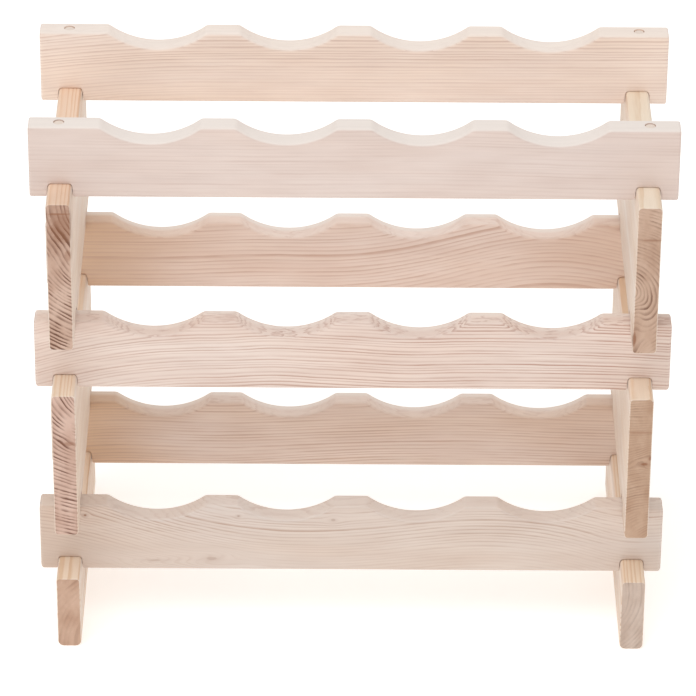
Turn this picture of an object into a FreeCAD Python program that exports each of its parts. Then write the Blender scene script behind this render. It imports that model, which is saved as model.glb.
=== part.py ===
import FreeCAD, Part
import os
import Sketcher

# Three-tier bottle rack in pine. Scalloped rails run left to right (X), side boards run front to back (Y),
# and every crossing is pinned by an upright dowel. The front of the rack faces -Y and +Z is up.
# The origin is on the floor, at the middle of the rack's footprint.
#
# Each tier is two side boards with a front and a back rail notched over them. The boards of the next tier
# are slotted underneath, sit down over the flats of the rails and lift off again.

# Driving dimensions, in millimetres.
DIMENSIONS = (
    ("rail_length", 480, "rail, left to right"),
    ("rail_height", 58, "rail, over its flats"),
    ("rail_thickness", 18, "rail, front to back"),
    ("rail_spread", 154, "front rail to back rail, centre to centre"),
    ("rail_end_round", 3.5, "corners of a bottom or middle rail's ends"),
    ("top_rail_end_round", 1.5, "corners of a top rail's ends"),
    ("bottle_pitch", 100, "one cradle to the next"),
    ("cradle_width", 75, "cradle, across its mouth"),
    ("cradle_depth", 13, "cradle, below the flats"),
    ("crest_round", 5, "corner between a flat and a cradle"),
    ("notch_depth", 10.5, "notch in a rail's lower edge"),
    ("notch_width", 18.6, "notch, at its top"),
    ("notch_mouth", 20.4, "notch, at the rail's lower edge"),
    ("notch_round", 3, "inner corners of a notch"),
    ("mouth_round", 2, "lips of a notch"),
    ("board_thickness", 18, "side board, left to right"),
    ("board_depth", 234, "side board, front to back"),
    ("board_height", 124, "side board between two tiers"),
    ("board_spread", 435, "left board to right board, centre to centre"),
    ("board_round", 3, "long edges of a side board"),
    ("foot_height", 62, "foot board, half a side board"),
    ("foot_round", 4.5, "lower long edges of a foot board"),
    ("slot_depth", 7.5, "slot in a side board's lower edge"),
    ("slot_width", 18.6, "slot, with 0.3 of play on each side of a rail"),
    ("dowel_diameter", 8, "dowel pin"),
    ("dowel_bevel", 0.4, "bevel at a dowel's ends"),
    ("dowel_grip", 25, "dowel's length in the board below"),
    ("dowel_stand", 15, "dowel's length above a rail, in the next board"),
    ("dowel_recess", 0.8, "top dowel's end below the rail's flat"),
    ("glued_play", 0.05, "gap round a dowel where it is glued"),
    ("loose_play", 0.3, "gap round a dowel where the tier lifts off"),
    ("hole_spare", 1, "hole's depth past a dowel's end"),
)

CRADLES = 4
LEVELS = ("bottom", "middle", "top")
SIDES = {"left": -1, "right": 1}
FACES = {"front": -1, "back": 1}

# Formulas on the sheet that several pieces share.
TIER_PITCH = "(Sizes.board_height - Sizes.slot_depth - Sizes.notch_depth + Sizes.rail_height)"
CRADLE_RADIUS = "((Sizes.cradle_width^2 / 4 + Sizes.cradle_depth^2) / (2 * Sizes.cradle_depth))"
HALF_SPREAD = {"x": "Sizes.board_spread / 2", "y": "Sizes.rail_spread / 2"}

TOUCH = 1e-4                       # two lengths closer than this are the same
BOTTOM, RIGHT, TOP, LEFT = range(4)    # the lines of a four-sided outline, anticlockwise
START, END, CENTRE = 1, 2, 3       # a line's two ends, and a circle's middle
H_AXIS, V_AXIS = -1, -2            # a sketch's own axes
ORIGIN = (H_AXIS, START)           # a sketch's own origin


def make_sheet(doc):
    """Fill the sheet of driving dimensions: what each is for, its value and its alias."""
    sheet = doc.addObject("Spreadsheet::Sheet", "Sizes")
    for row, (alias, value, meaning) in enumerate(DIMENSIONS, start=1):
        sheet.set(f"A{row}", meaning)
        sheet.set(f"B{row}", str(value))
        sheet.setAlias(f"B{row}", alias)
    doc.recompute()
    return sheet


def origin_feature(body, role):
    """Find one of a body's own origin planes or axes."""
    return next(item for item in body.Origin.OriginFeatures if item.Role == role)


def new_sketch(body, name, plane, height=None):
    """Start a sketch on an origin plane, raised to a height above it if one is given."""
    sketch = body.newObject("Sketcher::SketchObject", name)
    sketch.AttachmentSupport = [(origin_feature(body, plane), "")]
    sketch.MapMode = "FlatFace"
    if height:
        sketch.setExpression("AttachmentOffset.Base.z", height)
    return sketch


def dimension(sketch, kind, places, value, formula):
    """Add a dimension near its present value and bind it to the sheet."""
    index = sketch.addConstraint(Sketcher.Constraint(kind, *places, value))
    sketch.setExpression(f"Constraints[{index}]", formula)


def draw_outline(sketch, corners):
    """Draw a closed outline through its corners, anticlockwise from the lower left one."""
    points = [FreeCAD.Vector(x, y, 0) for x, y in corners]
    for start, end in zip(points, points[1:] + points[:1]):
        sketch.addGeometry(Part.LineSegment(start, end))
    for line in range(len(points)):
        following = (line + 1) % len(points)
        sketch.addConstraint(Sketcher.Constraint("Coincident", line, END, following, START))
    sketch.addConstraint(Sketcher.Constraint("PointOnObject", BOTTOM, START, H_AXIS))


def draw_block(sketch, width, height):
    """Draw a rectangle that stands on the horizontal axis, centred on the vertical one."""
    draw_outline(sketch, ((-9, 0), (9, 0), (9, 20), (-9, 20)))
    sketch.addConstraint(Sketcher.Constraint("Vertical", RIGHT))
    sketch.addConstraint(Sketcher.Constraint("Symmetric", BOTTOM, START, BOTTOM, END, V_AXIS))
    sketch.addConstraint(Sketcher.Constraint("Symmetric", TOP, START, TOP, END, V_AXIS))
    dimension(sketch, "DistanceX", (BOTTOM, START, BOTTOM, END), 18, width)
    dimension(sketch, "DistanceY", (RIGHT, START, RIGHT, END), 20, height)


def draw_slot(sketch, middle, foot, head, height):
    """Draw a slot of a width at its foot and another at its head, out from the vertical axis."""
    draw_outline(sketch, ((50, 0), (70, 0), (69, 10), (51, 10)))
    centre = sketch.addGeometry(Part.LineSegment(FreeCAD.Vector(60, 0, 0), FreeCAD.Vector(60, 10, 0)), True)
    sketch.addConstraint(Sketcher.Constraint("Vertical", centre))
    sketch.addConstraint(Sketcher.Constraint("PointOnObject", centre, START, H_AXIS))
    sketch.addConstraint(Sketcher.Constraint("PointOnObject", centre, END, TOP))
    sketch.addConstraint(Sketcher.Constraint("Symmetric", BOTTOM, START, BOTTOM, END, centre))
    sketch.addConstraint(Sketcher.Constraint("Symmetric", TOP, START, TOP, END, centre))
    dimension(sketch, "DistanceX", (*ORIGIN, centre, START), 60, middle)
    dimension(sketch, "DistanceX", (BOTTOM, START, BOTTOM, END), 20, foot)
    dimension(sketch, "DistanceX", (TOP, END, TOP, START), 18, head)
    dimension(sketch, "DistanceY", (centre, START, centre, END), 10, height)


def draw_hole_pair(sketch, axis, play):
    """Draw two dowel holes, one each side of the origin along an axis, with some play round the dowel."""
    for sign in (-1, 1):
        place = FreeCAD.Vector(60 * sign, 0, 0) if axis == "x" else FreeCAD.Vector(0, 60 * sign, 0)
        hole = sketch.addGeometry(Part.Circle(place, FreeCAD.Vector(0, 0, 1), 4))
        sketch.addConstraint(Sketcher.Constraint("PointOnObject", hole, CENTRE, H_AXIS if axis == "x" else V_AXIS))
        ends = (*ORIGIN, hole, CENTRE) if sign > 0 else (hole, CENTRE, *ORIGIN)
        dimension(sketch, f"Distance{axis.upper()}", ends, 60, HALF_SPREAD[axis])
        dimension(sketch, "Diameter", (hole,), 8, f"Sizes.dowel_diameter + 2 * Sizes.{play}")


def pad(body, name, sketch, length):
    """Thicken a sketch evenly to both sides."""
    feature = body.newObject("PartDesign::Pad", name)
    feature.Profile = sketch
    feature.SideType = "Symmetric"
    feature.setExpression("Length", length)
    return feature


def cut_through(body, name, sketch):
    """Cut a sketch right through, to both sides."""
    feature = body.newObject("PartDesign::Pocket", name)
    feature.Profile = sketch
    feature.SideType = "Symmetric"
    feature.Type = "ThroughAll"
    return feature


def cut_blind(body, name, sketch, depth, upwards=False):
    """Cut a sketch to a depth, down into the piece or up into it from below."""
    feature = body.newObject("PartDesign::Pocket", name)
    feature.Profile = sketch
    feature.Type = "Length"
    feature.Reversed = upwards
    feature.setExpression("Length", depth)
    return feature


def mirror(body, name, feature, plane):
    """Repeat a cut on the other side of one of the body's middle planes."""
    mirrored = body.newObject("PartDesign::Mirrored", name)
    mirrored.Originals = [feature]
    mirrored.MirrorPlane = (origin_feature(body, plane), [""])
    body.Tip = mirrored
    return mirrored


def round_edges(doc, body, name, places, radius):
    """Round the edges that run front to back through the given (x, z) places."""
    doc.recompute()
    base = body.Tip
    edges = []
    for number, edge in enumerate(base.Shape.Edges, start=1):
        start, end = edge.Vertexes[0].Point, edge.Vertexes[-1].Point
        runs_along_y = abs(end.y - start.y) > TOUCH and abs(end.x - start.x) + abs(end.z - start.z) < TOUCH
        if runs_along_y and any(abs(start.x - x) + abs(start.z - z) < TOUCH for x, z in places):
            edges.append(f"Edge{number}")
    if len(edges) < len(places):
        raise RuntimeError(f"{body.Label}: {name} finds {len(edges)} edges for {len(places)} places")
    feature = body.newObject("PartDesign::Fillet", name)
    feature.Base = (base, edges)
    feature.setExpression("Radius", radius)
    body.Tip = feature


def place(piece, **formulas):
    """Bind a piece's place to the sheet."""
    for direction, formula in formulas.items():
        piece.setExpression(f"Placement.Base.{direction}", formula)


def make_rail(doc, size, level, face):
    """Make a scalloped rail, with its own origin at the middle of its lower edge."""
    rail = doc.addObject("PartDesign::Body", f"{LEVELS[level]}_{face}_rail")
    blank = new_sketch(rail, "RailBlank", "XZ_Plane")
    draw_block(blank, "Sizes.rail_length", "Sizes.rail_height")
    pad(rail, "RailPad", blank, "Sizes.rail_thickness")

    # The cradles: one circle over the first bottle's place, repeated along the rail.
    circle = new_sketch(rail, "CradleCircle", "XZ_Plane")
    circle.addGeometry(Part.Circle(FreeCAD.Vector(-150, 100, 0), FreeCAD.Vector(0, 0, 1), 60))
    dimension(circle, "Radius", (0,), 60, CRADLE_RADIUS)
    dimension(circle, "DistanceX", (0, CENTRE, *ORIGIN), 150, f"Sizes.bottle_pitch * {(CRADLES - 1) / 2}")
    dimension(circle, "DistanceY", (*ORIGIN, 0, CENTRE), 100,
              f"Sizes.rail_height + {CRADLE_RADIUS} - Sizes.cradle_depth")
    cradle = cut_through(rail, "Cradle", circle)
    cradles = rail.newObject("PartDesign::LinearPattern", "Cradles")
    cradles.Originals = [cradle]
    cradles.Direction = (origin_feature(rail, "X_Axis"), [""])
    cradles.Occurrences = CRADLES
    cradles.setExpression("Length", f"Sizes.bottle_pitch * {CRADLES - 1}")
    rail.Tip = cradles
    crests = []
    for number in range(CRADLES):
        middle = size("bottle_pitch") * (number - (CRADLES - 1) / 2)
        crests += [(middle + side * size("cradle_width") / 2, size("rail_height")) for side in (-1, 1)]
    round_edges(doc, rail, "Crests", crests, "Sizes.crest_round")

    # The notches over the boards' top edges, wider at their mouths.
    outline = new_sketch(rail, "NotchOutline", "XZ_Plane")
    draw_slot(outline, HALF_SPREAD["x"], "Sizes.notch_mouth", "Sizes.notch_width", "Sizes.notch_depth")
    mirror(rail, "Notches", cut_through(rail, "Notch", outline), "YZ_Plane")
    for name, width, height, radius in (("NotchCorners", "notch_width", size("notch_depth"), "notch_round"),
                                        ("NotchLips", "notch_mouth", 0, "mouth_round")):
        places = [(board * size("board_spread") / 2 + side * size(width) / 2, height)
                  for board in (-1, 1) for side in (-1, 1)]
        round_edges(doc, rail, name, places, f"Sizes.{radius}")

    ends = [(side * size("rail_length") / 2, height) for side in (-1, 1) for height in (0, size("rail_height"))]
    at_top = level == len(LEVELS) - 1
    round_edges(doc, rail, "Ends", ends, "Sizes.top_rail_end_round" if at_top else "Sizes.rail_end_round")

    holes = new_sketch(rail, "DowelHoleCircles", "XY_Plane")
    draw_hole_pair(holes, "x", "glued_play")
    cut_through(rail, "DowelHoles", holes)
    place(rail, y=f"{FACES[face]} * {HALF_SPREAD['y']}",
          z=f"Sizes.foot_height - Sizes.notch_depth + {level} * {TIER_PITCH}")
    return rail


def start_board(doc, size, name, side, height, lower_round):
    """Make a plain board on edge, its long edges eased, with dowel holes in its top edge."""
    board = doc.addObject("PartDesign::Body", name)
    section = new_sketch(board, "BoardSection", "XZ_Plane")
    draw_block(section, "Sizes.board_thickness", f"Sizes.{height}")
    pad(board, "BoardPad", section, "Sizes.board_depth")
    half = size("board_thickness") / 2
    round_edges(doc, board, "UpperEdges", [(-half, size(height)), (half, size(height))], "Sizes.board_round")
    round_edges(doc, board, "LowerEdges", [(-half, 0), (half, 0)], f"Sizes.{lower_round}")

    holes = new_sketch(board, "DowelHoleCircles", "XY_Plane", f"Sizes.{height}")
    draw_hole_pair(holes, "y", "glued_play")
    cut_blind(board, "DowelHoles", holes, "Sizes.dowel_grip + Sizes.hole_spare")
    place(board, x=f"{SIDES[side]} * {HALF_SPREAD['x']}")
    return board


def make_foot_board(doc, size, side):
    """Make one of the two boards that the rack stands on."""
    return start_board(doc, size, f"{side}_foot_board", side, "foot_height", "foot_round")


def make_side_board(doc, size, level, side):
    """Make a board that stands on the rails of the level below: slots and loose dowel sockets beneath."""
    name = f"{('lower', 'upper')[level - 1]}_{side}_board"
    board = start_board(doc, size, name, side, "board_height", "board_round")
    outline = new_sketch(board, "SlotOutline", "YZ_Plane")
    draw_slot(outline, HALF_SPREAD["y"], "Sizes.slot_width", "Sizes.slot_width", "Sizes.slot_depth")
    mirror(board, "Slots", cut_through(board, "Slot", outline), "XZ_Plane")

    sockets = new_sketch(board, "SocketCircles", "XY_Plane", "Sizes.slot_depth")
    draw_hole_pair(sockets, "y", "loose_play")
    cut_blind(board, "Sockets", sockets, "Sizes.dowel_stand + Sizes.hole_spare", upwards=True)
    place(board, z="Sizes.foot_height - Sizes.notch_depth + Sizes.rail_height - Sizes.slot_depth"
                   f" + {level - 1} * {TIER_PITCH}")
    return board


def make_dowel(doc, level, face, side):
    """Make the dowel of one crossing: up out of the board, through the rail, and into the next board."""
    dowel = doc.addObject("PartDesign::Body", f"{LEVELS[level]}_{face}_{side}_dowel")
    rod = dowel.newObject("PartDesign::AdditiveCylinder", "Rod")
    rod.setExpression("Radius", "Sizes.dowel_diameter / 2")
    at_top = level == len(LEVELS) - 1
    beyond = "- Sizes.dowel_recess" if at_top else "+ Sizes.dowel_stand"
    rod.setExpression("Height", f"Sizes.dowel_grip + Sizes.rail_height - Sizes.notch_depth {beyond}")
    doc.recompute()
    rims = [f"Edge{number}" for number, edge in enumerate(rod.Shape.Edges, start=1)
            if isinstance(edge.Curve, Part.Circle)]
    bevel = dowel.newObject("PartDesign::Chamfer", "Bevels")
    bevel.Base = (rod, rims)
    bevel.setExpression("Size", "Sizes.dowel_bevel")
    dowel.Tip = bevel
    place(dowel, x=f"{SIDES[side]} * {HALF_SPREAD['x']}", y=f"{FACES[face]} * {HALF_SPREAD['y']}",
          z=f"Sizes.foot_height - Sizes.dowel_grip + {level} * {TIER_PITCH}")
    return dowel


def make_rack(doc):
    """Make every piece of the rack, level by level, and return them."""
    sheet = make_sheet(doc)
    size = sheet.get
    pieces = [make_foot_board(doc, size, side) for side in SIDES]
    for level in range(len(LEVELS)):
        if level:
            pieces += [make_side_board(doc, size, level, side) for side in SIDES]
        pieces += [make_rail(doc, size, level, face) for face in FACES]
        pieces += [make_dowel(doc, level, face, side) for face in FACES for side in SIDES]
    doc.recompute()
    return pieces


def check(doc, pieces):
    """Stop if a feature has failed, a cut has cut nothing, or a piece isn't one sound solid."""
    for item in doc.Objects:
        if {"Invalid", "Error"} & set(item.State):
            raise RuntimeError(f"{item.Label} has failed: {item.State}")
        if item.TypeId in ("PartDesign::Pocket", "PartDesign::Mirrored", "PartDesign::LinearPattern"):
            if item.Shape.Volume > item.BaseFeature.Shape.Volume - 1:
                raise RuntimeError(f"{item.Label} cuts nothing")
    for piece in pieces:
        shape = piece.Shape
        if shape.isNull() or not shape.isValid() or len(shape.Solids) != 1:
            raise RuntimeError(f"{piece.Label} isn't one sound solid")


def export(pieces):
    """Write each piece in its place, in a file with its own name."""
    os.makedirs("parts", exist_ok=True)
    for piece in pieces:
        piece.Shape.exportStep(f"parts/{piece.Label}.step")
        box = piece.Shape.BoundBox
        print(f"{piece.Label:26} {piece.Shape.Volume / 1000:8.1f} cm3   z {box.ZMin:6.1f} to {box.ZMax:6.1f}")


document = FreeCAD.newDocument("BottleRack")
rack = make_rack(document)
check(document, rack)
export(rack)
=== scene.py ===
"""The looks of a three-tier bottle rack in planed, unfinished pine.

Six scalloped rails and six side boards take the place of the plain CAD bars. Each is one bar whose outline
follows a rule, made by a Geometry Nodes tree, and is cut from its own piece of a pine trunk. The dowels stay
as the CAD made them and get a wood of their own.
"""

import logging
import math
from dataclasses import dataclass
from enum import Enum
from typing import Iterator, Mapping, Optional, Sequence, Union

import bpy
from mathutils import Matrix, Vector


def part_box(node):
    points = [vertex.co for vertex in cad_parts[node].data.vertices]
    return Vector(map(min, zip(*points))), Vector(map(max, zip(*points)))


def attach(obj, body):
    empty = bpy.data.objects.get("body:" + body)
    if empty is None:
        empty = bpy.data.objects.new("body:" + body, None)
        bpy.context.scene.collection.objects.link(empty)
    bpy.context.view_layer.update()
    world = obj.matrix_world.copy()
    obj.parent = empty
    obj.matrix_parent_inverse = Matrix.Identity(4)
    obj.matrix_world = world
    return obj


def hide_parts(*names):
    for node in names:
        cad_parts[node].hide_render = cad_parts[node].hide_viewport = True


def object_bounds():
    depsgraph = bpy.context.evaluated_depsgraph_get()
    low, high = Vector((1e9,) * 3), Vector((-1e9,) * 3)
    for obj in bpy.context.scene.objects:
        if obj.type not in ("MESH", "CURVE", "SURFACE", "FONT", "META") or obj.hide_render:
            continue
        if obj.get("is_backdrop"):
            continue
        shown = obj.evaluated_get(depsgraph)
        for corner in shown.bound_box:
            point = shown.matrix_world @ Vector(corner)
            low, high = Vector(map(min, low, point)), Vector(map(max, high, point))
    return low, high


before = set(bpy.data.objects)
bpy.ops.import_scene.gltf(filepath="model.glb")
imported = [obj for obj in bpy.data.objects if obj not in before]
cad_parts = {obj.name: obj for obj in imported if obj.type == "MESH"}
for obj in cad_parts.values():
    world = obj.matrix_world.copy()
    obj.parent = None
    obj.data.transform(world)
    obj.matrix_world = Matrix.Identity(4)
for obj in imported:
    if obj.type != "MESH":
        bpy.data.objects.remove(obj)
log = logging.getLogger("bottle_rack")

MM = 0.001
Triple = tuple[float, float, float]
Colour = Triple
Number = Union[float, "Value"]
Feeds = Optional[Mapping[Union[str, int], object]]


def out(name: str, axis: int) -> float:
    """Read from the frame how far along an axis a bar's middle is from the rack's, in metres."""
    low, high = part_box(name)
    return abs(low[axis] + high[axis]) / 2


BOARD_OUT = out("left_foot_board", 0)
RAIL_OUT = out("bottom_front_rail", 1)


class Level(Enum):
    """The rack's three tiers, from the floor up: how each names its rails and its boards, and its body."""

    BOTTOM = ("bottom_{}_rail", "{}_foot_board", "base")
    MIDDLE = ("middle_{}_rail", "lower_{}_board", "middle_tier")
    TOP = ("top_{}_rail", "upper_{}_board", "top_tier")

    def __init__(self, rail: str, board: str, body: str) -> None:
        """Keep the tier's patterns for names, and its body's name."""
        self.rail, self.board, self.body = rail, board, body


class Face(Enum):
    """The two long sides of the rack."""

    FRONT = "front"
    BACK = "back"


class Side(Enum):
    """The two ends of the rack."""

    LEFT = "left"
    RIGHT = "right"


class Run(Enum):
    """Which way a bar runs through the rack."""

    ACROSS = "left to right"
    THROUGH = "front to back"
    UPRIGHT = "up and down"


# ---- Node trees written as sums ----


class Value:
    """A node's output, which takes part in sums as a number does."""

    def __init__(self, graph: "Graph", socket: bpy.types.NodeSocket) -> None:
        """Keep the output and the tree that it belongs to."""
        self.graph = graph
        self.socket = socket

    def __add__(self, other: Number) -> "Value":
        """Add."""
        return self.graph.math("ADD", self, other)

    def __sub__(self, other: Number) -> "Value":
        """Take away."""
        return self.graph.math("SUBTRACT", self, other)

    def __rsub__(self, other: Number) -> "Value":
        """Take away from a number."""
        return self.graph.math("SUBTRACT", other, self)

    def __mul__(self, other: Number) -> "Value":
        """Multiply."""
        return self.graph.math("MULTIPLY", self, other)

    def __truediv__(self, other: Number) -> "Value":
        """Divide."""
        return self.graph.math("DIVIDE", self, other)

    def __abs__(self) -> "Value":
        """The size, whatever the sign."""
        return self.graph.math("ABSOLUTE", self)

    __radd__ = __add__
    __rmul__ = __mul__


class Graph:
    """A node tree that is filled with sums and nodes."""

    def __init__(self, tree: bpy.types.NodeTree) -> None:
        """Keep the tree."""
        self.tree = tree

    def feed(self, socket: bpy.types.NodeSocket, value: object) -> None:
        """Link a value to an input, or set the input to it.

        Args:
            socket: The input.
            value: A Value, or whatever the input takes as its own setting.
        """
        if isinstance(value, Value):
            self.tree.links.new(value.socket, socket)
        else:
            socket.default_value = value

    def node(self, kind: str, feeds: Feeds = None, **settings: object) -> bpy.types.Node:
        """Add a node.

        Args:
            kind: The node's type.
            feeds: What goes into its inputs, by name or place.
            **settings: The node's own options.

        Returns:
            The node.
        """
        made = self.tree.nodes.new(kind)
        for name, setting in settings.items():
            setattr(made, name, setting)
        for key, value in (feeds or {}).items():
            self.feed(made.inputs[key], value)
        return made

    def value(self, kind: str, feeds: Feeds = None, output: int = 0, **settings: object) -> Value:
        """Add a node and return one of its outputs."""
        return Value(self, self.node(kind, feeds, **settings).outputs[output])

    def math(self, operation: str, *terms: Number, clamp: bool = False) -> Value:
        """Work out one step of a sum, by its name in Blender's Math node."""
        return self.value("ShaderNodeMath", dict(enumerate(terms)), operation=operation, use_clamp=clamp)

    def share(self, value: Number) -> Value:
        """Keep a value between 0 and 1."""
        return self.math("ADD", value, 0.0, clamp=True)

    def between(self, value: Number, low: float, high: float) -> Value:
        """Keep a value between two limits."""
        return self.math("MINIMUM", self.math("MAXIMUM", value, low), high)

    def blend(self, amount: Number, start: Number, end: Number) -> Value:
        """Go from one value to another as an amount goes from 0 to 1."""
        return self.math("MULTIPLY_ADD", amount, self.math("SUBTRACT", end, start), start)

    def arc(self, radius: Number, past: Number) -> Value:
        """Give how far a rounded edge has fallen away this far past its start."""
        left = self.math("MAXIMUM", radius * radius - past * past, 0.0)
        return radius - self.math("SQRT", left)

    def bell(self, value: Number) -> Value:
        """Fall from 1 towards 0 as a value grows from 0."""
        return self.math("EXPONENT", value * -1.0)

    def ramp(self, value: Number, low: float, high: float, start: float = 0.0, end: float = 1.0) -> Value:
        """Turn a stretch of a value into a smooth step.

        Args:
            value: What is looked at.
            low: Where the step starts.
            high: Where the step ends.
            start: The result up to its start.
            end: The result past its end.

        Returns:
            The step.
        """
        feeds = {"Value": value, "From Min": low, "From Max": high, "To Min": start, "To Max": end}
        return self.value("ShaderNodeMapRange", feeds, interpolation_type="SMOOTHSTEP")

    def point(self, x: Number, y: Number, z: Number) -> Value:
        """Join three values into a place."""
        return self.value("ShaderNodeCombineXYZ", {0: x, 1: y, 2: z})

    def parts(self, place: Value) -> tuple[Value, Value, Value]:
        """Split a place into its three values."""
        x, y, z = self.node("ShaderNodeSeparateXYZ", {0: place}).outputs
        return Value(self, x), Value(self, y), Value(self, z)

    def noise(self, place: Value, detail: float = 2.0, roughness: float = 0.5) -> Value:
        """Make noise of about one wave a unit, from -1 to 1 round 0."""
        feeds = {"Vector": place, "Scale": 1.0, "Detail": detail, "Roughness": roughness}
        made = self.value("ShaderNodeTexNoise", feeds, noise_dimensions="3D")
        return made * 2.0 - 1.0

    def chance(self, value: Number) -> Value:
        """Give each whole number a chance value of its own, from 0 to 1."""
        return self.value("ShaderNodeTexWhiteNoise", {"W": value}, noise_dimensions="1D")

    def tint(self, amount: Number, first: object, second: object, how: str = "MIX") -> Value:
        """Mix an amount of a second colour, from 0 to 1, into a first."""
        feeds = {0: amount, 6: paint(first), 7: paint(second)}
        return self.value("ShaderNodeMix", feeds, output=2, data_type="RGBA", blend_type=how)


def paint(colour: object) -> object:
    """Give a plain colour its fourth number, and leave a Value as it is."""
    return colour if isinstance(colour, Value) else (*colour, 1.0)


def shade(red: float, green: float, blue: float) -> Colour:
    """Turn a colour as a screen shows it, from 0 to 255, into the light that it stands for."""
    parts = [part / 255.0 for part in (red, green, blue)]
    return tuple(part / 12.92 if part <= 0.04045 else ((part + 0.055) / 1.055) ** 2.4 for part in parts)


# ---- The pine ----


@dataclass(frozen=True)
class Knot:
    """A dark knot, stain or shake inside a bar: a lens of darker wood that the grain flows round.

    Attributes:
        at: Its middle, along, across and up from the bar's middle, in millimetres.
        reach: How far it reaches along, across and up, in millimetres.
        depth: How dark it is, from 0 to 1.
        push: How far it pushes the grain aside, as a share of its height.
    """

    at: Triple
    reach: Triple
    depth: float = 0.8
    push: float = 0.9


@dataclass(frozen=True)
class Hump:
    """A place where the grain climbs and falls again.

    Attributes:
        along: Its middle, along the bar, in millimetres.
        height: How far the grain climbs, in millimetres.
        width: How far from its middle it has mostly fallen, in millimetres.
    """

    along: float
    height: float
    width: float


@dataclass(frozen=True)
class Growth:
    """How one bar lay in the tree. Lengths are in millimetres from the bar's own middle.

    Attributes:
        pith: The tree's middle, across and up from the bar's.
        spacing: The width of a year's growth.
        slope: How far the grain climbs along the bar, in millimetres a millimetre.
        humps: Where the grain climbs and falls.
        fall: How far the grain falls at the bar's low and high end.
        wander: How far the grain strays.
        strength: How strongly the late wood shows, from 0 to 1.
        fade: How much of it comes and goes along the bar, from 0 to 1.
        clear_low: How much paler the lines are in the lower part, from 0 to 1.
        gain: How much stronger the lines are at the high end, and weaker at the low end, from 0 to 1.
        knots: The bar's knots and stains.
        seed: The bar's own place in the noise.
    """

    pith: tuple[float, float]
    spacing: float = 2.8
    slope: float = 0.0
    humps: tuple[Hump, ...] = ()
    fall: tuple[float, float] = (0.0, 0.0)
    wander: float = 1.6
    strength: float = 0.7
    fade: float = 0.5
    clear_low: float = 0.0
    gain: float = 0.0
    knots: tuple[Knot, ...] = ()
    seed: float = 0.0


@dataclass(frozen=True)
class PineFinish:
    """Planed, unfinished pine.

    Attributes:
        early: The pale wood of spring.
        late: The darker wood of summer, at the outer side of a year's growth.
        warm: The colour that the pale wood drifts towards.
        end_early: The pale wood on a sawn end.
        end_late: The dark wood on a sawn end.
        end_blot: The colour of a sawn end's darker patches.
        end_bold: How boldly the years show on a sawn end.
        low_end: A darker, warmer colour over the bar's low end, and how much of it shows: painted shade
            beside the board there, partly the wood's own tone.
        high_end: A darker, warmer colour over the bar's high end, and how much of it shows: painted shade
            beside the board there, partly the wood's own tone.
        sky: The colour of the painted highlight on the planed, up-facing top, where the top light falls.
        highlight_share: How much of that painted highlight shows, from 0 to 1.
        rim: How much more of the painted highlight shows towards the far edge, where the back light catches
            the rounded edge.
        top_line_fade: How much fainter the grain is on up-facing tops, from 0 to 1, or bolder below 0;
            partly painted highlight that washes the lines out.
        ragged: How ragged its lines are on the top, in millimetres.
    """

    early: Colour
    late: Colour
    warm: Colour
    end_early: Colour = shade(214, 186, 166)
    end_late: Colour = shade(138, 96, 74)
    end_blot: Colour = shade(196, 160, 140)
    end_bold: float = 1.0
    low_end: tuple[Colour, float] = (shade(214, 180, 150), 0.0)
    high_end: tuple[Colour, float] = (shade(214, 180, 150), 0.0)
    sky: Colour = shade(243, 236, 230)
    highlight_share: float = 0.12
    rim: float = 0.0
    top_line_fade: float = 0.0
    ragged: float = 3.0


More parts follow.
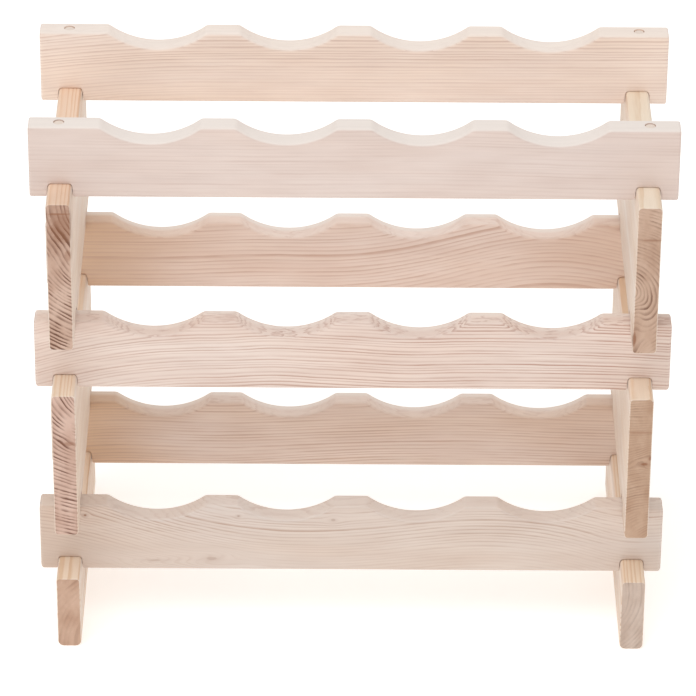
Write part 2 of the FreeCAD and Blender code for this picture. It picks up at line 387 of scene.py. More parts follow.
class Timber:
    """One bar's wood: a finish, on a bar that lay in its own place in a tree.

    Places in the material's tree of nodes are in metres along, across and up from the bar's middle, and the
    noise's waves are a metre in the same three directions.
    """

    KNOT_COLOUR = shade(142, 94, 66)
    PORE_COLOUR = shade(160, 122, 98)
    WARMTH = 0.35
    JITTER = 0.6 * MM
    # Where the painted far-edge highlight rises, across the bar.
    RIM = (-1 * MM, 5 * MM)
    LATE_STARTS, LATE_FULL, LATE_ENDS = 0.42, 0.90, 0.93
    RELIEF = 0.16 * MM

    STRAY_WAVES = (5.5, 32.0, 32.0)
    JITTER_WAVES = (28.0, 150.0, 150.0)
    FLAME_WAVES = (95.0, 360.0, 95.0)
    PATCH_WAVES = (11.0, 60.0, 60.0)
    BROKEN_WAVES = (34.0, 420.0, 420.0)
    DRIFT_WAVES = (6.0, 28.0, 28.0)
    CLOUD_WAVES = (17.0, 85.0, 85.0)
    FIBRE_WAVES = (26.0, 1500.0, 1500.0)
    STREAK_WAVES = (9.0, 330.0, 330.0)
    KNOT_WAVES = (120.0, 240.0, 240.0)
    END_BLOT_WAVES = (30.0, 70.0, 45.0)
    END_PATCH_WAVES = (20.0, 90.0, 40.0)
    END_PORE_WAVES = (30.0, 2100.0, 2100.0)
    SAW_WAVES = (40.0, 240.0, 1300.0)

    def __init__(self, name: str, run: Run, box: tuple[Vector, Vector], growth: Growth,
                 finish: PineFinish) -> None:
        """Start the wood's material, and find where a point is in its bar and which way it faces.

        Args:
            name: The material's name.
            run: Which way the bar runs.
            box: The bar's lowest and highest corner.
            growth: How the bar lay in the tree.
            finish: The wood's finish.
        """
        self.growth, self.finish = growth, finish
        self.material = bpy.data.materials.new(name)
        self.material.use_nodes = True
        graph = self.graph = Graph(self.material.node_tree)
        source = graph.node("ShaderNodeTexCoord")
        middle = (box[0] + box[1]) / 2
        centred = graph.value("ShaderNodeMapping", {0: Value(graph, source.outputs["Object"]), 1: -middle})
        place = graph.parts(centred)
        facing = graph.parts(Value(graph, source.outputs["Normal"]))
        axes = {Run.ACROSS: (0, 1, 2), Run.THROUGH: (1, 0, 2), Run.UPRIGHT: (2, 0, 1)}[run]
        self.along, self.across, self.up = (place[axis] for axis in axes)
        self.ends = graph.ramp(abs(facing[axes[0]]), 0.78, 0.95)
        # How much a point faces up: it carries the painted highlight on tops, and also the fainter lines and
        # ragged flames of the top's grain.
        self.sky: Number = 0.0 if run is Run.UPRIGHT else graph.ramp(facing[2], 0.35, 0.90)
        self.half = (box[1] - box[0])[axes[0]] / 2
        self.seeded = self.along + growth.seed * 1.37
        self.wood = graph.point(self.seeded, self.across + growth.seed * 0.71, self.up)

    def waves(self, scale: Triple, detail: float = 2.0) -> Value:
        """Make noise in the bar's own place."""
        return self.graph.noise(self.graph.value("ShaderNodeMapping", {0: self.wood, 3: scale}), detail)

    def fine(self, scale: Triple, detail: float, roughness: float = 0.5) -> Value:
        """Make fine noise, at places that aren't moved across the bar."""
        places = (self.seeded, self.across, self.up)
        point = self.graph.point(*(place * waves for place, waves in zip(places, scale)))
        return self.graph.noise(point, detail, roughness)

    def build(self) -> bpy.types.Material:
        """Put the grain, the colours and the relief together.

        Returns:
            The finished material.
        """
        graph, finish, growth = self.graph, self.finish, self.growth
        knot_shade, knot_push = self.knots()
        ring, late = self.rings(knot_push)
        lines = self.lines(ring, late)
        # On up-facing tops the grain's lines fade by this share, and grow bolder below 0; on the top rails
        # this stands for painted highlight washing the lines out.
        lines = lines * (1.0 - self.sky * finish.top_line_fade) * (1.0 + self.along * (growth.gain / self.half))
        fibre = self.fine(self.FIBRE_WAVES, 3.0, 0.6)
        streak = self.fine(self.STREAK_WAVES, 2.0, 0.55)

        # Painted highlight: up-facing tops are tinted pale as if lit from above, and more towards the far
        # edge as if the back light catches it.
        highlight_share = graph.ramp(self.across, *self.RIM, finish.highlight_share, finish.highlight_share + finish.rim)
        face = graph.tint(self.sky * highlight_share, self.face_colour(lines), finish.sky)
        colour = graph.tint(self.ends, face, self.end_colour(ring, late))
        colour = graph.tint(knot_shade, colour, self.KNOT_COLOUR)
        light = 1.0 + fibre * 0.055 + streak * 0.035
        colour = graph.tint(1.0, colour, graph.point(light, light, light), "MULTIPLY")
        shader = self.material.node_tree.nodes["Principled BSDF"]
        graph.feed(shader.inputs["Base Color"], colour)
        graph.feed(shader.inputs["Roughness"], 0.60 + fibre * 0.08 - lines * 0.05 + self.ends * 0.15)
        shader.inputs["IOR"].default_value = 1.45
        shader.inputs["Specular IOR Level"].default_value = 0.35

        wave_along, wave_across, wave_up = self.SAW_WAVES
        saw_point = graph.point(self.across * wave_across, self.along * wave_along, self.up * wave_up)
        saw = graph.noise(saw_point, 2.0, 0.6)
        relief = graph.blend(self.ends, fibre * 0.35 + lines * 0.30 + streak * 0.25, saw * 1.1 + late * 0.4)
        bump = graph.value("ShaderNodeBump", {"Strength": 0.7, "Distance": self.RELIEF, "Height": relief})
        graph.feed(shader.inputs["Normal"], bump)
        return self.material

    def knots(self) -> tuple[Number, Number]:
        """Draw the knots and stains.

        Returns:
            How dark the knots are at a point, and how far they push the grain aside.
        """
        graph = self.graph
        shade_total: Number = 0.0
        push_total: Number = 0.0
        ragged = self.waves(self.KNOT_WAVES)
        places = (self.along, self.across, self.up)
        for knot in self.growth.knots:
            x, y, z = ((place - at * MM) / (reach * MM)
                       for place, at, reach in zip(places, knot.at, knot.reach))
            square = x * x + y * y + z * z
            far = graph.math("SQRT", square) + ragged * 0.35
            core = graph.ramp(far, 0.35, 1.0, knot.depth, 0.0)
            halo = graph.ramp(far, 0.4, 2.4, knot.depth * 0.30, 0.0)
            shade_total = graph.math("MAXIMUM", graph.math("MAXIMUM", core, halo), shade_total)
            near = graph.bell(square * 0.10)
            push_total = near * z * (knot.push * knot.reach[2] * MM) + push_total
        return shade_total, push_total

    def rings(self, push: Number) -> tuple[Value, Value]:
        """Find the year's growth that a point lies in.

        Args:
            push: How far knots push the grain aside.

        Returns:
            The year's number, with its fraction, and how much late wood there is, from 0 to 1.
        """
        graph, growth = self.graph, self.growth
        height = self.along * growth.slope
        for hump in growth.humps:
            off = (self.along - hump.along * MM) / (hump.width * MM)
            height = height + graph.bell(off * off) * (hump.height * MM)
        for sign, fall in zip((-1.0, 1.0), growth.fall):
            if fall:
                near_end = graph.share((self.along * (sign / self.half) - 0.45) / 0.55)
                height = height - near_end * near_end * (fall * MM)
        out = self.across - growth.pith[0] * MM
        over = self.up - growth.pith[1] * MM - height - push
        radius = graph.math("SQRT", out * out + over * over)
        radius = radius + self.waves(self.STRAY_WAVES, 1.0) * (growth.wander * MM)
        radius = radius + self.waves(self.JITTER_WAVES) * self.JITTER
        radius = radius + self.waves(self.FLAME_WAVES) * self.sky * (self.finish.ragged * MM)
        year = radius / (growth.spacing * MM)
        ring = year + graph.noise(graph.point(year * 0.31, growth.seed, 0.5), 1.0) * 1.1
        part = graph.math("FRACT", ring)
        late = graph.ramp(part, self.LATE_STARTS, self.LATE_FULL)
        return ring, late * graph.ramp(part, self.LATE_ENDS, 1.0, 1.0, 0.0)

    def lines(self, ring: Value, late: Value) -> Value:
        """Make the late wood come and go from year to year and place to place.

        Args:
            ring: The year's number.
            late: How much late wood there is.

        Returns:
            How strongly the grain's lines show, from 0 to 1.
        """
        graph, growth = self.graph, self.growth
        vigour = 0.45 + graph.chance(graph.math("FLOOR", ring) + growth.seed * 7.0) * 0.75
        patch = self.waves(self.PATCH_WAVES)
        broken = self.fine(self.BROKEN_WAVES, 2.0)
        keep = graph.share(1.0 - growth.fade * 0.5 + patch * (growth.fade * 1.9) + broken * 0.75)
        strength = late * vigour * keep * growth.strength
        if growth.clear_low:
            strength = strength * graph.ramp(self.up, -12 * MM, 12 * MM, 1.0 - growth.clear_low, 1.0)
        return graph.share(strength)

    def face_colour(self, lines: Value) -> Value:
        """Colour a planed side.

        Args:
            lines: How strongly the grain's lines show.

        Returns:
            The colour.
        """
        graph, finish = self.graph, self.finish
        drift = self.waves(self.DRIFT_WAVES)
        colour = graph.tint(graph.share(self.WARMTH + drift * 0.75), finish.early, finish.warm)
        colour = graph.tint(graph.share(0.10 + self.waves(self.CLOUD_WAVES) * 0.28), colour, finish.late)
        # Painted shade: towards each end, beside the boards, the bar turns darker and warmer, partly the
        # wood's own tone there.
        for sign, (over, amount) in zip((-1.0, 1.0), (finish.low_end, finish.high_end)):
            if amount:
                toward_end = self.along * (sign / self.half) + drift * 0.12
                colour = graph.tint(graph.ramp(toward_end, 0.45, 0.98, 0.0, amount), colour, over)
        return graph.tint(lines, colour, finish.late)

    def end_colour(self, ring: Value, late: Value) -> Value:
        """Colour a sawn end.

        Args:
            ring: The year's number.
            late: How much late wood there is.

        Returns:
            The colour.
        """
        graph, finish = self.graph, self.finish
        vigour = 0.5 + graph.chance(graph.math("FLOOR", ring) + self.growth.seed * 3.0) * 0.9
        blot = graph.share(0.35 + self.waves(self.END_BLOT_WAVES, 3.0) * 1.1)
        colour = graph.tint(blot, finish.end_early, finish.end_blot)
        bold = graph.share(0.50 + self.waves(self.END_PATCH_WAVES) * 1.5) * vigour
        broad = graph.math("POWER", late, 0.6)
        colour = graph.tint(graph.share(broad * bold * finish.end_bold), colour, finish.end_late)
        wave_along, wave_across, wave_up = self.END_PORE_WAVES
        pore_point = graph.point(self.across * wave_across, self.seeded * wave_along, self.up * wave_up)
        return graph.tint(graph.share(graph.noise(pore_point) * 0.4), colour, self.PORE_COLOUR)


# ---- The bars ----


@dataclass(frozen=True)
class Bore:
    """A dowel hole that a bar has twice, once each side of its middle. Lengths are in metres.

    Attributes:
        out: Its distance from the bar's middle.
        radius: Its radius.
        low: Its lower end, over the bar's lower edge.
        high: Its upper end.
    """

    out: float
    radius: float
    low: float
    high: float


@dataclass
class Bar:
    """A length of planed pine whose outline follows a rule. Lengths are in metres.

    Attributes:
        name: The bar's name, which is its CAD node's too.
        body: The body that it moves with.
        slot: The record's material slot; not used.
        growth: How it lay in the tree.
        finish: Its wood's finish.
        upper_round: The radius of its long upper edges.
        lower_round: The radius of its long lower edges.
        end_round: The radius of the edges round its ends.
        corner_round: The radius of its ends' corners, seen from the side.
        bores: Its dowel holes.
        fine_out: How far out its fine stretch starts, from the middle.
        columns: How many steps its half has.
        run: Which way it runs.
    """

    name: str
    body: str
    growth: Growth
    finish: PineFinish
    slot: str = "rail_pine"
    upper_round: float = 2.4 * MM
    lower_round: float = 1.6 * MM
    end_round: float = 2.0 * MM
    corner_round: float = 2.0 * MM
    bores: Sequence[Bore] = ()
    fine_out: float = 0.200
    columns: int = 340
    run: Run = Run.ACROSS

    MEASURES = ("upper_round", "lower_round", "end_round", "corner_round", "fine_out")
    CAP_STEPS = 3
    ARC_STEPS = 4
    QUADRANT_STEPS = 12
    ARC_SHARE = 1.0 / 3.0
    FINE_SHARE = 0.38
    BEFORE_FIFTH_QUARTER = 3.9999
    MERGE = 0.002 * MM
    CREASE = math.radians(34.0)
    DRILL_SIDES = 40

    def build(self) -> bpy.types.Object:
        """Make the bar, dress it and let it stand for its CAD node.

        Returns:
            The finished bar.
        """
        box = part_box(self.name)
        name = f"{self.name}_pine"
        material = Timber(name, self.run, box, self.growth, self.finish).build()
        inputs = self.inputs(box)
        tree, sockets = self.tree(inputs, material)
        mesh = bpy.data.meshes.new(name)
        blank = bpy.data.objects.new(name + "_blank", mesh)
        bpy.context.scene.collection.objects.link(blank)
        modifier = blank.modifiers.new("bar", "NODES")
        modifier.node_group = tree
        for label, value in inputs.items():
            modifier[sockets[label]] = value
        evaluated = blank.evaluated_get(bpy.context.evaluated_depsgraph_get())
        shape = bpy.data.meshes.new_from_object(evaluated)
        shape.name = name
        blank.modifiers.clear()
        bpy.data.objects.remove(blank)
        bar = bpy.data.objects.new(name, shape)
        bpy.context.scene.collection.objects.link(bar)
        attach(bar, self.body)
        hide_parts(self.name)
        log.info("%s: %d faces", name, len(shape.polygons))
        return bar

    def inputs(self, box: tuple[Vector, Vector]) -> dict[str, object]:
        """Give the tree its sizes.

        Args:
            box: The bar's lowest and highest corner.

        Returns:
            Each input's value, by name.
        """
        size = box[1] - box[0]
        turned = self.run is Run.THROUGH
        middle = (box[0] + box[1]) / 2
        return {
            "Length": size.y if turned else size.x,
            "Thickness": size.x if turned else size.y,
            "Height": size.z,
            "Turn": math.radians(90.0) if turned else 0.0,
            "Place": (middle.x, middle.y, box[0].z),
            **{name.replace("_", " ").title(): getattr(self, name) for name in self.MEASURES},
        }

    def tree(self, inputs: Mapping[str, object],
             material: bpy.types.Material) -> tuple[bpy.types.NodeTree, dict[str, str]]:
        """Make the tree of nodes that shapes the bar.

        Args:
            inputs: Each of its inputs' values, by name.
            material: The bar's wood.

        Returns:
            The tree, and the identifier of each input by its name.
        """
        tree = bpy.data.node_groups.new(self.name + "_tree", "GeometryNodeTree")
        sockets: dict[str, str] = {}
        for label, value in inputs.items():
            kind = "NodeSocketVector" if isinstance(value, tuple) else "NodeSocketFloat"
            sockets[label] = tree.interface.new_socket(label, in_out="INPUT", socket_type=kind).identifier
        tree.interface.new_socket("Geometry", in_out="OUTPUT", socket_type="NodeSocketGeometry")
        graph = Graph(tree)
        entry = graph.node("NodeGroupInput")
        given = {label: Value(graph, entry.outputs[label]) for label in sockets}

        shape = self.skin(graph, given)
        shape = self.bored(graph, shape)
        turn = graph.value("FunctionNodeEulerToRotation", {0: graph.point(0.0, 0.0, given["Turn"])})
        placing = {0: shape, "Translation": given["Place"], "Rotation": turn}
        moved = graph.value("GeometryNodeTransform", placing)
        smooth = graph.value("GeometryNodeSetShadeSmooth", {0: moved, "Shade Smooth": True}, domain="FACE")
        bend = graph.value("GeometryNodeInputMeshEdgeAngle")
        sharp = graph.value("FunctionNodeCompare", {0: bend, 1: self.CREASE}, operation="GREATER_THAN")
        creased = graph.value("GeometryNodeSetShadeSmooth",
                              {0: smooth, "Selection": sharp, "Shade Smooth": False}, domain="EDGE")
        real = graph.value("GeometryNodeRealizeInstances", {0: creased})
        dressed = graph.value("GeometryNodeSetMaterial", {0: real, "Material": material})
        leave = graph.node("NodeGroupOutput")
        graph.feed(leave.inputs[0], dressed)
        return tree, sockets

    def skin(self, graph: Graph, given: Mapping[str, Value]) -> Value:
        """Wrap a grid round the bar.

        Args:
            graph: The tree.
            given: The tree's inputs.

        Returns:
            The closed bar, with its lower edge's middle at the origin.
        """
        cap, arc, quadrant, share = self.CAP_STEPS, self.ARC_STEPS, self.QUADRANT_STEPS, self.ARC_SHARE
        wide = 2 * (cap + arc + self.columns) + 1
        high = 4 * quadrant + 1
        feeds = {"Size X": wide - 1.0, "Size Y": high - 1.0, "Vertices X": wide, "Vertices Y": high}
        grid = graph.value("GeometryNodeMeshGrid", feeds)
        i, j, _ = graph.parts(graph.value("GeometryNodeInputPosition"))

        # Along the bar: the flat end, the round edge of the end, the fine stretch, then the rest.
        inward = (wide - 1) / 2 - abs(i)
        sign = graph.math("SIGN", i)
        flat_end = graph.share(inward / cap)
        turn = (1.0 - graph.share((inward - cap) / arc)) * (math.pi / 2)
        end_round, half_thick = given["End Round"], given["Thickness"] * 0.5
        inset = (half_thick - end_round) * (1.0 - flat_end) + end_round * (1.0 - graph.math("COSINE", turn))
        body = graph.share((inward - (cap + arc)) / self.columns)
        straight = given["Length"] * 0.5 - end_round
        coarse = given["Fine Out"] * (1.0 - graph.share((body - self.FINE_SHARE) / (1.0 - self.FINE_SHARE)))
        fine = (straight - given["Fine Out"]) * (1.0 - graph.share(body / self.FINE_SHARE))
        x = sign * (coarse + fine + end_round * graph.math("SINE", turn))

        # Round the bar: each quarter is a rounded corner and then a flat.
        v = (j + (high - 1) / 2) / float(quadrant)
        q = graph.math("FLOOR", graph.math("MINIMUM", v, self.BEFORE_FIFTH_QUARTER))
        t = v - q
        angle = (q + graph.share(t / share)) * (math.pi / 2)
        u = q + graph.share((t - share) / (1.0 - share))
        side = self.swing(graph, u, 1.5)
        rise = self.swing(graph, u, 2.5)
        radius = graph.blend((rise + 1.0) * 0.5, given["Lower Round"], given["Upper Round"]) - inset
        radius = graph.math("MAXIMUM", radius, 0.0)

        top = self.upper(graph, given, x)
        under = self.lower(graph, given, x)
        rounded = given["Corner Round"]
        past = graph.math("MAXIMUM", abs(x) - given["Length"] * 0.5 + rounded, 0.0)
        drop = graph.arc(rounded, past)
        top, under = top - drop, under + drop
        half_y = half_thick - inset
        half_z = graph.math("MAXIMUM", (top - under) * 0.5 - inset, 0.0)
        y = side * (half_y - radius) + radius * graph.math("COSINE", angle)
        z = (top + under) * 0.5 + rise * (half_z - radius) + radius * graph.math("SINE", angle)
        placed = graph.value("GeometryNodeSetPosition", {0: grid, "Position": graph.point(x, y, z)})
        merged = graph.value("GeometryNodeMergeByDistance", {0: placed, "Distance": self.MERGE})
        return graph.value("GeometryNodeFlipFaces", {0: merged})

    @staticmethod
    def swing(graph: Graph, u: Value, start: float) -> Value:
        """Go from -1 to 1 and back once round the bar, standing still on every other side."""
        wrapped = graph.math("WRAP", u - start, 2.0, -2.0)
        return graph.between((abs(wrapped) - 1.0) * 2.0, -1.0, 1.0)

    def upper(self, graph: Graph, given: Mapping[str, Value], x: Value) -> Value:
        """Give the upper edge's height at a place along the bar."""
        return given["Height"] + x * 0.0

    def lower(self, graph: Graph, given: Mapping[str, Value], x: Value) -> Value:
        """Give the lower edge's height at a place along the bar."""
        return x * 0.0

    def bored(self, graph: Graph, shape: Value) -> Value:
        """Cut the dowel holes.

        Args:
            graph: The tree.
            shape: The whole bar.

        Returns:
            The bar with its holes.
        """
        if not self.bores:
            return shape
        drills = graph.node("GeometryNodeJoinGeometry")
        for bore in self.bores:
            size = {"Vertices": self.DRILL_SIDES, "Radius": bore.radius, "Depth": bore.high - bore.low}
            drill = graph.value("GeometryNodeMeshCylinder", size)
            start = (-bore.out, 0.0, (bore.low + bore.high) / 2)
            line = {"Count": 2, "Start Location": start, "Offset": (2 * bore.out, 0.0, 0.0)}
            points = graph.value("GeometryNodeMeshLine", line)
            pair = graph.value("GeometryNodeInstanceOnPoints", {"Points": points, "Instance": drill})
            real = graph.value("GeometryNodeRealizeInstances", {0: pair})
            graph.tree.links.new(real.socket, drills.inputs[0])
        cut = graph.node("GeometryNodeMeshBoolean", operation="DIFFERENCE", solver="MANIFOLD")
        graph.feed(cut.inputs["Mesh 1"], shape)
        graph.tree.links.new(drills.outputs[0], cut.inputs["Mesh 2"])
        return Value(graph, cut.outputs[0])


@dataclass
class Rail(Bar):
    """A scalloped rail, notched over the boards under it.

    Attributes:
        pitch: From one cradle to the next.
        cradle_width: A cradle's width at its mouth.
        cradle_depth: A cradle's depth below the flats.
        crest: How softly a flat turns into a cradle.
        board_out: The boards' distance from the rack's middle.
        notch_depth: A notch's depth.
        notch_width: A notch's width at its top.
        notch_mouth: A notch's width at the rail's lower edge.
        notch_round: The radius of a notch's inner corners.
        lip_round: The radius of the edges of its mouth.
    """

    pitch: float = 100 * MM
    cradle_width: float = 75 * MM
    cradle_depth: float = 13 * MM
    crest: float = 1.9 * MM
    board_out: float = BOARD_OUT
    notch_depth: float = 10.5 * MM
    notch_width: float = 18.2 * MM
    notch_mouth: float = 19.4 * MM
    notch_round: float = 2.9 * MM
    lip_round: float = 1.2 * MM

    MEASURES = (*Bar.MEASURES, "pitch", "cradle_radius", "cradle_depth", "crest", "board_out",
                "notch_depth", "notch_width", "notch_mouth", "notch_round", "lip_round")
    CRADLES_OUT = 1.999

    @property
    def cradle_radius(self) -> float:
        """Work out a cradle's radius from its width and depth."""
        return (self.cradle_width ** 2 / 4 + self.cradle_depth ** 2) / (2 * self.cradle_depth)

    def upper(self, graph: Graph, given: Mapping[str, Value], x: Value) -> Value:
        """Dip under each bottle."""
        pitch, radius = given["Pitch"], given["Cradle Radius"]
        outermost = self.CRADLES_OUT * self.pitch
        place = graph.between(x, -outermost, outermost)
        from_bottle = graph.math("WRAP", place, pitch, 0.0) - pitch * 0.5
        fall = graph.math("SQRT", radius * radius - from_bottle * from_bottle)
        arc = given["Height"] - given["Cradle Depth"] + radius - fall
        return graph.math("SMOOTH_MIN", given["Height"], arc, given["Crest"])

    def lower(self, graph: Graph, given: Mapping[str, Value], x: Value) -> Value:
        """Rise over the board under each end."""
        depth, mouth, width = given["Notch Depth"], given["Notch Mouth"], given["Notch Width"]
        inner, lip = given["Notch Round"], given["Lip Round"]
        from_board = abs(abs(x) - given["Board Out"])
        past = graph.math("MAXIMUM", from_board - (width * 0.5 - inner), 0.0)
        ceiling = depth - graph.arc(inner, past)
        inward = graph.share((mouth * 0.5 - from_board) / (mouth * 0.5 - width * 0.5))
        wall = graph.blend(inward, lip, depth)
        near = graph.math("MINIMUM", graph.math("MAXIMUM", mouth * 0.5 + lip - from_board, 0.0), lip)
        within = graph.math("LESS_THAN", from_board, mouth * 0.5)
        return graph.blend(within, graph.arc(lip, near), graph.math("MINIMUM", ceiling, wall))


@dataclass
class Board(Bar):
    """A side board, slotted underneath where it stands on rails.

    Attributes:
        rail_out: The rails' distance from the rack's middle.
        slot_depth: A slot's depth, nought on a foot board.
        slot_width: A slot's width.
    """

    slot: str = "board_pine"
    upper_round: float = 3.0 * MM
    lower_round: float = 3.0 * MM
    end_round: float = 1.0 * MM
    corner_round: float = 0.4 * MM
    fine_out: float = 64 * MM
    columns: int = 180
    run: Run = Run.THROUGH
    rail_out: float = RAIL_OUT
    slot_depth: float = 7.5 * MM
    slot_width: float = 18.6 * MM

    MEASURES = (*Bar.MEASURES, "rail_out", "slot_depth", "slot_width")
    WALL = 0.2 * MM

    def lower(self, graph: Graph, given: Mapping[str, Value], x: Value) -> Value:
        """Rise over the rail under each end."""
        from_rail = abs(abs(x) - given["Rail Out"])
        wall = graph.share((given["Slot Width"] - from_rail * 2.0) / (2.0 * self.WALL) + 0.5)
        return wall * given["Slot Depth"]


# ---- The rack ----


class Stock(Enum):
    """The finishes of the pine that the rails are made from."""

    # The top rails' finishes paint a strong highlight on their tops; the lower tiers, in the shade of those
    # above, get little.
    WHITE = PineFinish(early=shade(225, 209, 202), late=shade(194, 167, 156), warm=shade(226, 206, 196),
                       highlight_share=0.72, top_line_fade=0.7)
    PINK = PineFinish(early=shade(245, 229, 219), late=shade(214, 186, 172), warm=shade(246, 224, 206),
                      highlight_share=0.50, top_line_fade=0.7)
    ROSE = PineFinish(early=shade(233, 217, 208), late=shade(188, 150, 135), warm=shade(235, 213, 200),
                      high_end=(shade(224, 202, 190), 0.4), highlight_share=0.12, rim=0.35, top_line_fade=0.1)
    HONEY = PineFinish(early=shade(241, 224, 215), late=shade(204, 168, 150), warm=shade(240, 216, 200),
                       low_end=(shade(209, 172, 135), 0.8), high_end=(shade(212, 180, 156), 0.6),
                       highlight_share=0.15, rim=0.55, top_line_fade=0.5)
    TAN = PineFinish(early=shade(229, 213, 204), late=shade(195, 162, 145), warm=shade(229, 205, 186),
                     low_end=(shade(209, 171, 132), 0.8), high_end=(shade(211, 183, 162), 0.5),
                     highlight_share=0.15, rim=0.45, top_line_fade=0.5)
    SHADED = PineFinish(early=shade(221, 208, 200), late=shade(188, 159, 143), warm=shade(222, 203, 189),
                        low_end=(shade(207, 182, 164), 0.6), highlight_share=0.30, top_line_fade=0.4,
                        ragged=1.5)


def board_finish(red: float, green: float, blue: float, bold: float = 1.0,
                 top: Colour = shade(241, 215, 187)) -> PineFinish:
    """Mix a side board's finish.

    Args:
        red: The red of its sawn end, from 0 to 255.
        green: The green of its sawn end.
        blue: The blue of its sawn end.
        bold: How boldly the years show on its sawn end.
        top: The colour of the painted highlight on its planed top.

    Returns:
        The finish.
    """
    # A board's top gets a painted highlight in its top colour.
    return PineFinish(early=shade(235, 224, 215), late=shade(202, 164, 132), warm=shade(236, 217, 197),
                      end_early=shade(red + 10, green + 9, blue + 9),
                      end_blot=shade(red - 16, green - 22, blue - 24),
                      end_late=shade(red - 88, green - 94, blue - 92), end_bold=bold,
                      sky=top, highlight_share=0.6, top_line_fade=-2.2, ragged=0.2)


@dataclass
class Rack:
    """The whole rack: three tiers of rails, the boards between them, and the dowels.

    Attributes:
        hole: The radius of a glued dowel's hole.
        socket: The radius of a loose dowel's socket.
        grip: How deep a glued dowel's hole is in its board.
        socket_depth: How deep a socket is.
        overcut: How far a hole's tool reaches out of the wood.
    """

    hole: float = 4.05 * MM
    socket: float = 4.3 * MM
    grip: float = 26 * MM
    socket_depth: float = 23.5 * MM
    overcut: float = 5 * MM

    RAILS = {
        (Level.TOP, Face.FRONT): (Stock.WHITE, Growth(
            pith=(14, 150), spacing=2.9, slope=-0.008, humps=(Hump(60, 3, 90),), wander=1.2,
            strength=0.38, fade=0.9, seed=1.0)),
        (Level.TOP, Face.BACK): (Stock.PINK, Growth(
            pith=(5, -190), spacing=2.8, slope=0.004, fall=(9, 0), wander=0.8,
            strength=0.85, fade=0.35, clear_low=0.55, seed=2.0)),
        (Level.MIDDLE, Face.FRONT): (Stock.ROSE, Growth(
            pith=(-2, 120), spacing=2.8, slope=-0.006, fall=(22, 3), wander=1.8,
            humps=(Hump(-60, 2, 30), Hump(40, -2, 34)), strength=1.05, fade=0.5, gain=0.4, seed=3.0)),
        (Level.MIDDLE, Face.BACK): (Stock.HONEY, Growth(
            pith=(30, -90), spacing=3.1, humps=(Hump(158, 34, 105), Hump(-70, 3, 50)), wander=1.8,
            strength=0.75, fade=0.5, seed=4.0)),
        (Level.BOTTOM, Face.FRONT): (Stock.SHADED, Growth(
            pith=(30, 90), spacing=2.7, humps=(Hump(-260, 52, 130), Hump(105, 16, 95), Hump(215, -8, 40)),
            wander=2.2, strength=0.95, fade=0.6, clear_low=0.7, seed=5.0,
            knots=(Knot((-205, -9, 20), (1.8, 60, 1.5)), Knot((-87, -9, 20), (1.6, 60, 1.1), 0.5),
                   Knot((-14, -9, 17), (2.6, 60, 1.6), 0.35), Knot((-152, -9, -21), (9, 60, 1.2), 0.28, 2.0),
                   Knot((-108, -9, -19), (6, 60, 2.2), 0.32, 2.0)))),
        (Level.BOTTOM, Face.BACK): (Stock.TAN, Growth(
            pith=(10, -150), spacing=2.8, slope=0.014, humps=(Hump(60, 8, 150), Hump(-190, 6, 60)),
            wander=1.6, strength=0.9, fade=0.6, seed=6.0)),
    }
    BOARDS = {
        (Level.TOP, Side.LEFT): (board_finish(202, 173, 156, 1.7, shade(247, 211, 182)), Growth(
            pith=(61, 66), spacing=3.2, wander=0.5, slope=0.01, strength=0.5, seed=11.0,
            knots=(Knot((-117, 7, 19), (20, 4, 7), 0.45, 0.5), Knot((-117, 2, 54), (12, 14, 1.8), 0.75, 0.2),
                   Knot((-117, 4, 44), (20, 16, 19), 0.62, 0.0)))),
        (Level.TOP, Side.RIGHT): (board_finish(194, 165, 145, 0.65, shade(248, 234, 212)), Growth(
            pith=(-19, -13), spacing=3.0, wander=1.4, slope=0.01, strength=0.5, seed=12.0,
            knots=(Knot((-117, -8, -50), (12, 2.4, 9), 0.8), Knot((-117, 3, 35), (12, 14, 1.2), 0.5, 0.2)))),
        (Level.MIDDLE, Side.LEFT): (board_finish(208, 178, 163, 1.15), Growth(
            pith=(32, 74), spacing=3.2, wander=0.7, seed=13.0,
            knots=(Knot((-117, 4, 20), (16, 9, 2.6), 0.5, 0.4),))),
        (Level.MIDDLE, Side.RIGHT): (board_finish(191, 161, 138, 0.32), Growth(
            pith=(14, -70), spacing=2.4, wander=3.4, seed=14.0,
            knots=(Knot((-117, 4, 5), (12, 4, 2.0), 0.8), Knot((-117, 8, 10), (10, 1.6, 3), 0.7),
                   Knot((-117, 0, 33), (12, 14, 1.2), 0.4, 0.2)))),
        (Level.BOTTOM, Side.LEFT): (board_finish(197, 165, 144, 0.22), Growth(
            pith=(50, -30), spacing=4.2, wander=1.2, strength=1.2, seed=15.0)),
        (Level.BOTTOM, Side.RIGHT): (board_finish(200, 182, 169, 0.3), Growth(
            pith=(-50, 20), spacing=3.2, wander=1.2, strength=1.0, seed=16.0)),
    }

    @staticmethod
    def height(name: str) -> float:
        """Read a bar's height from the frame."""
        low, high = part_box(name)
        return high.z - low.z

    def rails(self) -> Iterator[Rail]:
        """Set out the six rails, one after another."""
        for (level, face), (stock, growth) in self.RAILS.items():
            at_top = level is Level.TOP
            name = level.rail.format(face.value)
            yield Rail(
                name=name,
                body=level.body,
                growth=growth,
                finish=stock.value,
                end_round=(1.5 if at_top else 2.0) * MM,
                corner_round=(0.5 if at_top else 2.0) * MM,
                bores=(Bore(BOARD_OUT, self.hole, -self.overcut, self.height(name) + self.overcut),),
            )

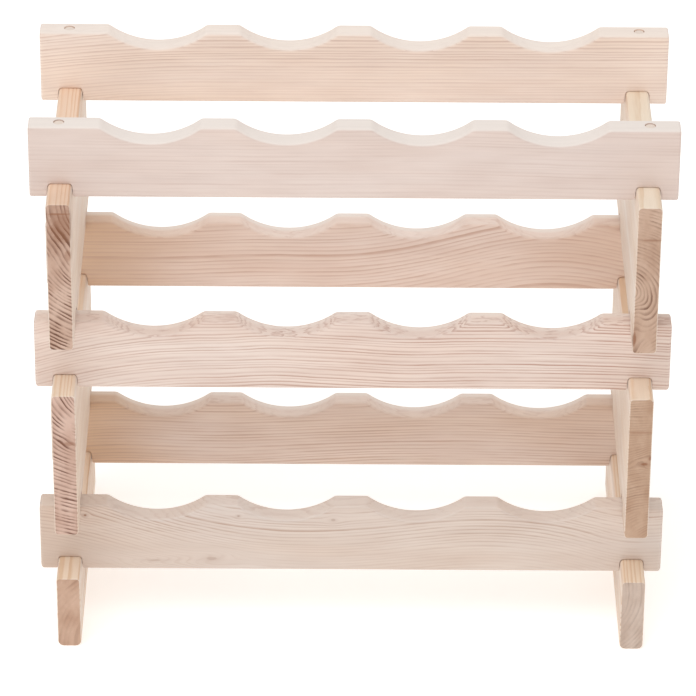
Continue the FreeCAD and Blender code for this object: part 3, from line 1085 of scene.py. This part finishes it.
    def boards(self) -> Iterator[Board]:
        """Set out the six boards, one after another."""
        for (level, side), (finish, growth) in self.BOARDS.items():
            foot = level is Level.BOTTOM
            name = level.board.format(side.value)
            height = self.height(name)
            bores = [Bore(RAIL_OUT, self.hole, height - self.grip, height + self.overcut)]
            if not foot:
                bores.append(Bore(RAIL_OUT, self.socket, -self.overcut, self.socket_depth))
            yield Board(
                name=name,
                body=level.body,
                growth=growth,
                finish=finish,
                lower_round=(4.5 if foot else 3.0) * MM,
                slot_depth=0.0 if foot else 7.5 * MM,
                bores=bores,
            )

    def build(self) -> None:
        """Make every bar and dress the dowels."""
        for bar in (*self.rails(), *self.boards()):
            bar.build()
        self.dress_dowels()

    def dress_dowels(self) -> None:
        """Give the dowels a turned hardwood."""
        # The dowels' pale ends are partly painted highlight, kept as pale as the rails' lit tops round them.
        finish = PineFinish(early=shade(226, 204, 180), late=shade(196, 164, 136), warm=shade(222, 194, 162),
                            end_early=shade(240, 228, 218), end_late=shade(222, 204, 190),
                            end_blot=shade(232, 216, 204))
        for number, name in enumerate(sorted(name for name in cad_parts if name.endswith("_dowel"))):
            growth = Growth(pith=(30, 20 + 5 * number), spacing=1.4, wander=0.5, strength=0.5,
                            seed=20.0 + number)
            material = Timber(f"{name}_wood", Run.UPRIGHT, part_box(name), growth, finish).build()
            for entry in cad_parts[name].material_slots:
                entry.material = material
            log.info("%s dressed", name)


# ---- The studio ----


@dataclass(frozen=True)
class Lamp:
    """A square soft lamp that points at the rack.

    Attributes:
        name: Its name.
        place: Where it hangs, in metres.
        width: How wide it is, in metres.
        power: Its power, in watts.
    """

    name: str
    place: Triple
    width: float
    power: float

    LIGHT = (1.0, 0.99, 0.97)
    RACK_MIDDLE = Vector((0.0, 0.0, 0.2))

    def hang(self) -> None:
        """Hang it in its place."""
        data = bpy.data.lights.new(self.name, "AREA")
        data.size = self.width
        data.energy = self.power
        data.color = self.LIGHT
        lamp = bpy.data.objects.new(self.name, data)
        lamp.location = self.place
        lamp.rotation_euler = (self.RACK_MIDDLE - Vector(self.place)).to_track_quat("-Z", "Y").to_euler()
        bpy.context.scene.collection.objects.link(lamp)


@dataclass
class Studio:
    """A pale floor, soft light and the camera.

    Attributes:
        distance: From the camera to the rack's middle, in metres.
        elevation: How far the camera looks down, in degrees.
        yaw: How far it stands off the rack's centre line, in degrees.
        roll: How far it is tipped, in degrees.
        lens: Its focal length, in millimetres.
        aim: How far to the right of the rack's middle and above it the camera points, in metres.
        lamps: The lamps.
        fill: How strong the light from all round is.
    """

    distance: float = 3.6
    elevation: float = 30.25
    yaw: float = 0.27
    roll: float = 0.45
    lens: float = 240.8
    aim: tuple[float, float] = (-0.00325, -0.01554)
    lamps: tuple[Lamp, ...] = (Lamp("key", (-0.7, -1.3, 2.6), 2.2, 27.0),
                               Lamp("back", (0.8, 1.6, 2.2), 2.0, 6.75))
    fill: float = 0.66

    FLOOR_REACH = 12.0
    FLOOR_GLOW = 0.36
    FLOOR_COLOURS = ((0.93, 0.93, 0.92), (0.95, 0.95, 0.94))
    GRIT_WAVES = (60.0, 60.0, 60.0)

    def build(self) -> None:
        """Lay the floor, hang the lights and set up the camera."""
        self.floor()
        self.light()
        self.camera()
        bpy.context.scene.view_settings.view_transform = "Standard"

    def floor(self) -> None:
        """Lay a plain pale floor."""
        mesh = bpy.data.meshes.new("floor")
        reach = self.FLOOR_REACH
        corners = [(-reach, -reach, 0.0), (reach, -reach, 0.0), (reach, reach, 0.0), (-reach, reach, 0.0)]
        mesh.from_pydata(corners, [], [(0, 1, 2, 3)])
        floor = bpy.data.objects.new("floor", mesh)
        bpy.context.scene.collection.objects.link(floor)
        material = bpy.data.materials.new("floor_paint")
        material.use_nodes = True
        graph = Graph(material.node_tree)
        shader = material.node_tree.nodes["Principled BSDF"]
        place = Value(graph, graph.node("ShaderNodeTexCoord").outputs["Object"])
        grit = graph.noise(graph.value("ShaderNodeMapping", {0: place, 3: self.GRIT_WAVES}), 3.0)
        colour = graph.tint(graph.share(0.5 + grit * 0.5), *self.FLOOR_COLOURS)
        graph.feed(shader.inputs["Base Color"], colour)
        shader.inputs["Roughness"].default_value = 0.9
        shader.inputs["Specular IOR Level"].default_value = 0.1
        shader.inputs["Emission Color"].default_value = (1.0, 1.0, 0.985, 1.0)
        shader.inputs["Emission Strength"].default_value = self.FLOOR_GLOW
        mesh.materials.append(material)
        floor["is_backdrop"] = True

    def light(self) -> None:
        """Hang the lamps, and fill in from all round."""
        world = bpy.data.worlds.new("studio")
        world.use_nodes = True
        background = world.node_tree.nodes["Background"]
        background.inputs["Color"].default_value = (1.0, 0.995, 0.985, 1.0)
        background.inputs["Strength"].default_value = self.fill
        bpy.context.scene.world = world
        for lamp in self.lamps:
            lamp.hang()

    def camera(self) -> None:
        """Stand the camera in front of the rack, looking down on it."""
        low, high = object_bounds()
        middle = (low + high) / 2
        down, turn = math.radians(self.elevation), math.radians(self.yaw)
        level = Vector((math.sin(turn), math.cos(turn), 0.0))
        forward = level * math.cos(down) - Vector((0, 0, 1)) * math.sin(down)
        right = forward.cross(Vector((0, 0, 1))).normalized()
        above = right.cross(forward)
        place = middle - forward * self.distance
        look = middle + right * self.aim[0] + above * self.aim[1] - place
        data = bpy.data.cameras.new("camera")
        data.lens = self.lens
        data.sensor_width = 36.0
        data.clip_start, data.clip_end = 0.1, 60.0
        camera = bpy.data.objects.new("camera", data)
        turned = look.to_track_quat("-Z", "Y").to_matrix().to_4x4()
        tipped = Matrix.Rotation(math.radians(self.roll), 4, "Z")
        camera.matrix_world = Matrix.Translation(place) @ turned @ tipped
        bpy.context.scene.collection.objects.link(camera)
        bpy.context.scene.camera = camera


def main() -> None:
    """Build the rack in its studio."""
    logging.basicConfig(level=logging.INFO, format="%(name)s: %(message)s")
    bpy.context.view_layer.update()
    Rack().build()
    Studio().build()


if __name__ == "__main__":
    main()
